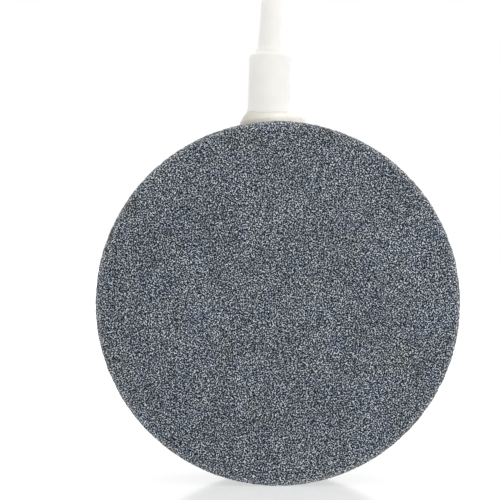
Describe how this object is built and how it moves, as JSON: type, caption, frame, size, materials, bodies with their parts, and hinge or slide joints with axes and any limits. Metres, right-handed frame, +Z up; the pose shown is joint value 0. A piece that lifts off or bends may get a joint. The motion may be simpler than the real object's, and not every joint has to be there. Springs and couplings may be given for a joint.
{
  "type": "air stone",
  "caption": "Flat round air stone of porous bonded mineral, hollow inside, with a stepped hose nozzle glued into its rim. It spreads air from a pump as fine bubbles.",
  "frame": {"origin": "lowest point of the rim that the disc stands on, in the disc's middle plane", "axes": "+Z up, from the rest point to the nozzle; +Y along the disc's axis, out of its back face; +X to the right, seen from the front"},
  "size_m": [0.08, 0.018, 0.1083],
  "materials": {
    "porous_stone": "matte open grain, blue-grey with near-black and white specks",
    "seam_epoxy": "dull cured epoxy, recessed in the seam",
    "nozzle_plastic": "milky white moulded polyethylene, satin, slightly translucent",
    "nozzle_adhesive": "cream hand-applied adhesive, semi-gloss, uneven"
  },
  "bodies": {
    "root": {"front_half": "porous_stone", "back_half": "porous_stone", "seam_adhesive": "seam_epoxy", "hose_nozzle": "nozzle_plastic", "nozzle_adhesive": "nozzle_adhesive"}
  },
  "joints": []
}
